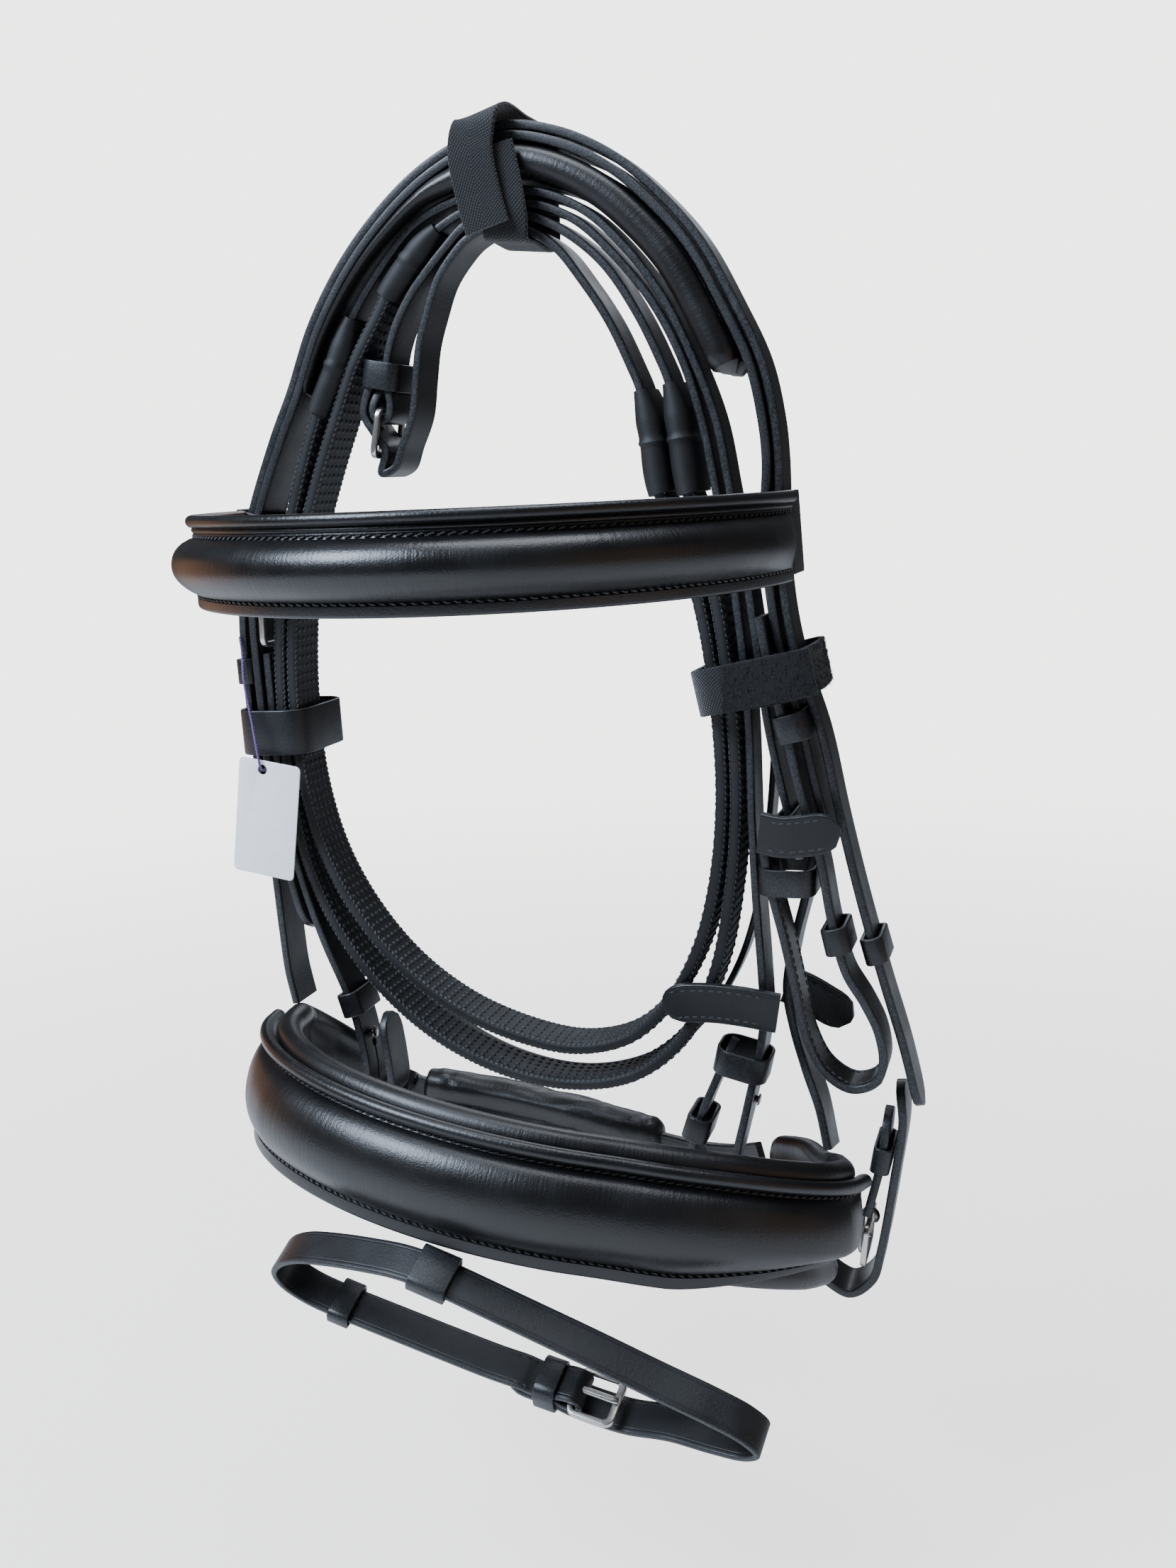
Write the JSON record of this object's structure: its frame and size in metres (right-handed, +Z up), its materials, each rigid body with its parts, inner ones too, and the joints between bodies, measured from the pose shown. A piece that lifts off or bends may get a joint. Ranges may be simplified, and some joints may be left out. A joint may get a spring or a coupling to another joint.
{
  "type": "horse bridle",
  "caption": "Black leather snaffle bridle with padded browband and crank noseband, flash strap, rubber-gripped reins, woven ties and a blank hang tag, hung from a peg.",
  "frame": {"origin": "on the peg that the bridle hangs from, at the underside of the top tie", "axes": "+Z up, -Y towards the browband and noseband, +X to the right of someone who faces them"},
  "size_m": [0.2718, 0.1959, 0.4555],
  "materials": {
    "black_leather": "smooth black bridle leather, semi-matt",
    "grip_rubber": "matt black pimpled rubber",
    "lining_leather": "dark brown lining leather",
    "padded_leather": "soft padded black leather",
    "satin_steel": "satin stainless steel",
    "tag_card": "matt white card",
    "violet_thread": "twisted violet thread",
    "woven_tape": "woven black tape with a pile face"
  },
  "bodies": {
    "bridle": {"band_left": "black_leather", "billet_loop_far": "black_leather", "billet_tab_far": "black_leather", "billet_tab_near": "black_leather", "billet_tip_near": "black_leather", "browband_face": "black_leather", "browband_lining": "lining_leather", "browband_loop_left": "black_leather", "browband_loop_right": "black_leather", "cheek_buckle_frame": "satin_steel", "cheekpiece_left": "black_leather", "cheekpiece_right": "black_leather", "crown_pad": "padded_leather", "headpiece": "black_leather", "hook_stud_left": "satin_steel", "hook_stud_right": "satin_steel", "keeper_billet_right": "black_leather", "keeper_bit_end": "black_leather", "keeper_bit_loop": "black_leather", "keeper_cheek_left": "black_leather", "keeper_cheek_right": "black_leather", "keeper_sliphead_left": "black_leather", "keeper_turn_right": "black_leather", "noseband_hanger_right": "black_leather", "rein_buckle_frame": "satin_steel", "rein_buckle_keeper": "black_leather", "rein_far_bit": "black_leather", "rein_far_grip": "grip_rubber", "rein_far_hand": "black_leather", "rein_far_sleeve_left": "grip_rubber", "rein_far_sleeve_right": "grip_rubber", "rein_near_bit": "black_leather", "rein_near_grip": "grip_rubber", "rein_near_hand": "black_leather", "rein_near_sleeve_left": "grip_rubber", "rein_near_sleeve_right": "grip_rubber", "sliphead": "black_leather", "tag_thread": "violet_thread", "throatlatch": "black_leather", "tie_right": "woven_tape", "tie_top": "woven_tape"},
    "noseband": {"noseband_face": "black_leather", "noseband_lining": "padded_leather", "chin_pad": "padded_leather", "chin_strap_left": "black_leather", "chin_strap_right": "black_leather", "crank_strap": "black_leather", "crank_billet": "black_leather", "crank_keeper": "black_leather", "crank_buckle_frame": "satin_steel"},
    "flash": {"flash_strap": "black_leather", "flash_buckle_frame": "satin_steel", "flash_buckle_keeper": "black_leather", "flash_loop": "black_leather"},
    "flash_runner": {"flash_runner": "black_leather"},
    "flash_tongue": {"flash_buckle_tongue": "satin_steel"},
    "crank_tongue": {"crank_buckle_tongue": "satin_steel"},
    "rein_tongue": {"rein_buckle_tongue": "satin_steel"},
    "sliphead_keeper": {"keeper_sliphead_right": "black_leather"},
    "tag": {"hang_tag": "tag_card"}
  },
  "joints": [
    {"name": "noseband_swing", "type": "hinge", "parent": "bridle", "child": "noseband", "pos_m": [0.0062, -0.001, -0.3135], "axis": [0.9812, 0, -0.1932], "range_deg": [-3, 6]},
    {"name": "flash_swing", "type": "hinge", "parent": "noseband", "child": "flash", "pos_m": [-0.00225, -0.09567, -0.34386], "axis": [0.9655, 0, -0.2605], "range_deg": [-4, 6]},
    {"name": "flash_runner_slide", "type": "slide", "parent": "flash", "child": "flash_runner", "axis": [0.9648, 0.0014, -0.263], "range_m": [0, 0.015]},
    {"name": "flash_tongue_hinge", "type": "hinge", "parent": "flash", "child": "flash_tongue", "pos_m": [0.03911, -0.08309, -0.39783], "axis": [-0.1223, -0.8829, -0.4533], "range_deg": [0, 30]},
    {"name": "crank_tongue_hinge", "type": "hinge", "parent": "noseband", "child": "crank_tongue", "pos_m": [0.1305, 0.002, -0.3631], "axis": [0, 1, 0], "range_deg": [0, 15]},
    {"name": "rein_tongue_hinge", "type": "hinge", "parent": "bridle", "child": "rein_tongue", "pos_m": [-0.047, 0, -0.0556], "axis": [0, 1, 0], "range_deg": [0, 30]},
    {"name": "sliphead_keeper_slide", "type": "slide", "parent": "bridle", "child": "sliphead_keeper", "axis": [0.2575, 0, -0.9663], "range_m": [0, 0.012]},
    {"name": "tag_swing", "type": "hinge", "parent": "bridle", "child": "tag", "pos_m": [-0.1039, -0.019, -0.1906], "axis": [0, 1, 0], "range_deg": [-20, 20]}
  ]
}
